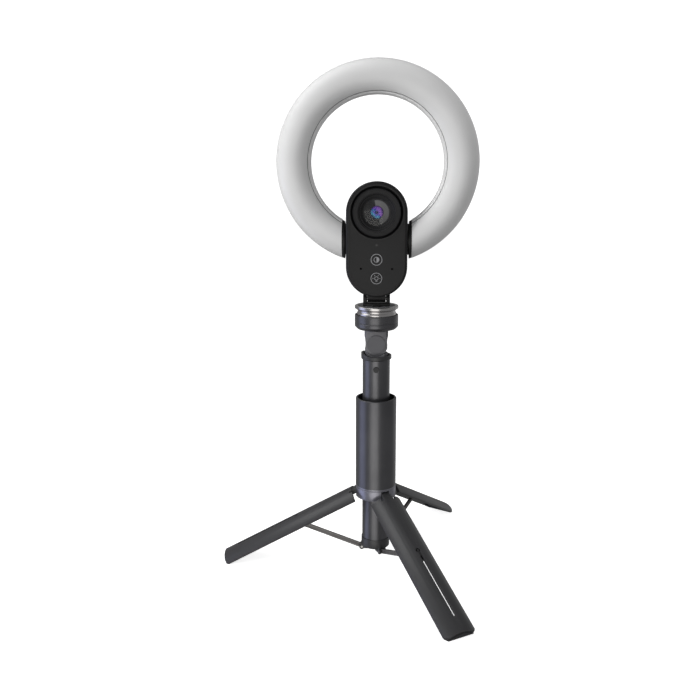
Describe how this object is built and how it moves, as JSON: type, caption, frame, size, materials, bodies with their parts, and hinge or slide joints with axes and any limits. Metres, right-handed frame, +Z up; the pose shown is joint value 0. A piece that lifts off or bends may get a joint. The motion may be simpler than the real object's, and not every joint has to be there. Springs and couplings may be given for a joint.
{
  "type": "ring light",
  "caption": "Desk ring light with a webcam in the ring's gap, on a telescopic mast with a folding tripod whose legs close into a handle.",
  "frame": {"origin": "centre of the footprint box on the surface that the three feet stand on", "axes": "+Z up the mast; -Y is the way the lens and the ring face; -X along the leg that lies straight to the side"},
  "size_m": [0.1984, 0.2192, 0.3938],
  "materials": {
    "tube_anodised": "dark grey anodised, satin",
    "leg_plastic": "dark grey satin moulding",
    "neck_metal": "dark grey satin coat",
    "collar_grey": "silver grey coat",
    "pin_steel": "bare steel",
    "strut_steel": "pressed steel strip",
    "guide_nylon": "black nylon",
    "foot_rubber": "soft black rubber",
    "black_plastic": "fine matt black moulding",
    "lock_plastic": "dark satin moulding",
    "bezel_gloss": "gloss black",
    "mount_chrome": "bright plated",
    "pad_grey": "grey grip pad",
    "lens_glass": "coated glass",
    "sensor": "sensor under glass",
    "board_green": "circuit board",
    "board_white": "white circuit board",
    "led_yellow": "phosphor",
    "print_grey": "grey print",
    "led_window": "clear window",
    "socket_steel": "stainless shell",
    "diffuser_white": "white satin diffuser",
    "shell_white": "light grey satin shell"
  },
  "bodies": {
    "stand": {"main_tube": "tube_anodised", "handle_sleeve": "tube_anodised", "sleeve_bush": "guide_nylon", "leg_collar": "collar_grey", "leg_hinge_pins": "pin_steel", "base_plug": "leg_plastic", "base_pins": "pin_steel", "top_cap": "leg_plastic", "guide_bush": "guide_nylon", "button_spring": "pin_steel"},
    "button": {"lock_button": "guide_nylon"},
    "leg_left": {"leg_left": "leg_plastic", "foot_left": "foot_rubber"},
    "strut_left": {"strut_left": "strut_steel"},
    "shoe_left": {"shoe_left": "guide_nylon"},
    "leg_front": {"leg_front": "leg_plastic", "foot_front": "foot_rubber"},
    "strut_front": {"strut_front": "strut_steel"},
    "shoe_front": {"shoe_front": "guide_nylon"},
    "leg_back": {"leg_back": "leg_plastic", "foot_back": "foot_rubber"},
    "strut_back": {"strut_back": "strut_steel"},
    "shoe_back": {"shoe_back": "guide_nylon"},
    "mast_1": {"mast_section_1": "tube_anodised"},
    "mast_2": {"mast_section_2": "tube_anodised"},
    "mast_3": {"mast_section_3": "tube_anodised"},
    "mast_4": {"mast_section_4": "tube_anodised", "neck_base": "neck_metal"},
    "neck": {"neck_head": "neck_metal", "neck_bolt": "pin_steel", "pivot_caps": "neck_metal"},
    "lock": {"lock_collar": "lock_plastic"},
    "pan": {"quick_mount": "mount_chrome", "mount_pad": "pad_grey", "quarter_screw": "pin_steel", "tilt_bracket": "black_plastic", "tilt_pin": "pin_steel"},
    "camera": {"front_cover": "black_plastic", "rear_cover": "black_plastic", "lens_bezel": "bezel_gloss", "lens_barrel": "black_plastic", "lens_glass": "lens_glass", "lens_elements": "lens_glass", "image_sensor": "sensor", "main_board": "board_green", "touch_icons": "print_grey", "status_led": "led_window", "microphones": "black_plastic", "usb_socket": "socket_steel", "cover_screws": "pin_steel"},
    "ring": {"ring_rear": "shell_white", "ring_diffuser": "diffuser_white", "ring_trim": "mount_chrome", "led_board": "board_white", "leds": "led_yellow", "ring_ends": "black_plastic", "ring_pivots": "pin_steel"}
  },
  "joints": [
    {"name": "leg_left_fold", "type": "hinge", "parent": "stand", "child": "leg_left", "pos_m": [0.01001, 0, 0.0625], "axis": [0, -1, 0], "range_deg": [0, 61.5]},
    {"name": "strut_left_fold", "type": "hinge", "parent": "stand", "child": "strut_left", "pos_m": [0.01212, 0, 0.0134], "axis": [0, -1, 0], "range_deg": [-0.5, 110.67]},
    {"name": "shoe_left_pivot", "type": "hinge", "parent": "strut_left", "child": "shoe_left", "pos_m": [-0.04045, 0, 0.03271], "axis": [0, -1, 0], "range_deg": [-49.17, 0.5]},
    {"name": "leg_front_fold", "type": "hinge", "parent": "stand", "child": "leg_front", "pos_m": [0.02944, -0.01121, 0.0625], "axis": [0.866, 0.5, 0], "range_deg": [0, 61.5]},
    {"name": "strut_front_fold", "type": "hinge", "parent": "stand", "child": "strut_front", "pos_m": [0.02839, -0.0094, 0.0134], "axis": [0.866, 0.5, 0], "range_deg": [-0.5, 110.67]},
    {"name": "shoe_front_pivot", "type": "hinge", "parent": "strut_front", "child": "shoe_front", "pos_m": [0.05467, -0.05492, 0.03271], "axis": [0.866, 0.5, 0], "range_deg": [-49.17, 0.5]},
    {"name": "leg_back_fold", "type": "hinge", "parent": "stand", "child": "leg_back", "pos_m": [0.02944, 0.01121, 0.0625], "axis": [-0.866, 0.5, 0], "range_deg": [0, 61.5]},
    {"name": "strut_back_fold", "type": "hinge", "parent": "stand", "child": "strut_back", "pos_m": [0.02839, 0.0094, 0.0134], "axis": [-0.866, 0.5, 0], "range_deg": [-0.5, 110.67]},
    {"name": "shoe_back_pivot", "type": "hinge", "parent": "strut_back", "child": "shoe_back", "pos_m": [0.05467, 0.05492, 0.03271], "axis": [-0.866, 0.5, 0], "range_deg": [-49.17, 0.5]},
    {"name": "mast_1_slide", "type": "slide", "parent": "stand", "child": "mast_1", "axis": [0, 0, 1], "range_m": [0, 0.112]},
    {"name": "mast_2_slide", "type": "slide", "parent": "mast_1", "child": "mast_2", "axis": [0, 0, 1], "range_m": [0, 0.12]},
    {"name": "mast_3_slide", "type": "slide", "parent": "mast_2", "child": "mast_3", "axis": [0, 0, 1], "range_m": [0, 0.12]},
    {"name": "mast_4_slide", "type": "slide", "parent": "mast_3", "child": "mast_4", "axis": [0, 0, 1], "range_m": [0, 0.12]},
    {"name": "button_press", "type": "slide", "parent": "stand", "child": "button", "axis": [0, 1, 0], "range_m": [0, 0.0005], "stiffness_N_per_m": 400},
    {"name": "neck_tilt", "type": "hinge", "parent": "mast_4", "child": "neck", "pos_m": [0.02296, 0, 0.1804], "axis": [0, 1, 0], "range_deg": [0, 75]},
    {"name": "lock_turn", "type": "hinge", "parent": "neck", "child": "lock", "pos_m": [0.02296, 0, 0.197], "axis": [0, 0, 1], "range_deg": [-30, 0]},
    {"name": "head_pan", "type": "hinge", "parent": "neck", "child": "pan", "pos_m": [0.02296, 0, 0.206], "axis": [0, 0, 1], "continuous": true},
    {"name": "camera_tilt", "type": "hinge", "parent": "pan", "child": "camera", "pos_m": [0.02296, 0, 0.2154], "axis": [1, 0, 0], "range_deg": [-30, 15]},
    {"name": "ring_tilt", "type": "hinge", "parent": "camera", "child": "ring", "pos_m": [0.02296, 0, 0.26068], "axis": [1, 0, 0], "range_deg": [-60, 60]}
  ],
  "couplings": [
    {"joint": "strut_left_fold", "follows": "leg_left_fold", "ratio": 1.7914},
    {"joint": "shoe_left_pivot", "follows": "leg_left_fold", "ratio": -0.79139},
    {"joint": "strut_front_fold", "follows": "leg_front_fold", "ratio": 1.7914},
    {"joint": "shoe_front_pivot", "follows": "leg_front_fold", "ratio": -0.79139},
    {"joint": "strut_back_fold", "follows": "leg_back_fold", "ratio": 1.7914},
    {"joint": "shoe_back_pivot", "follows": "leg_back_fold", "ratio": -0.79139}
  ]
}
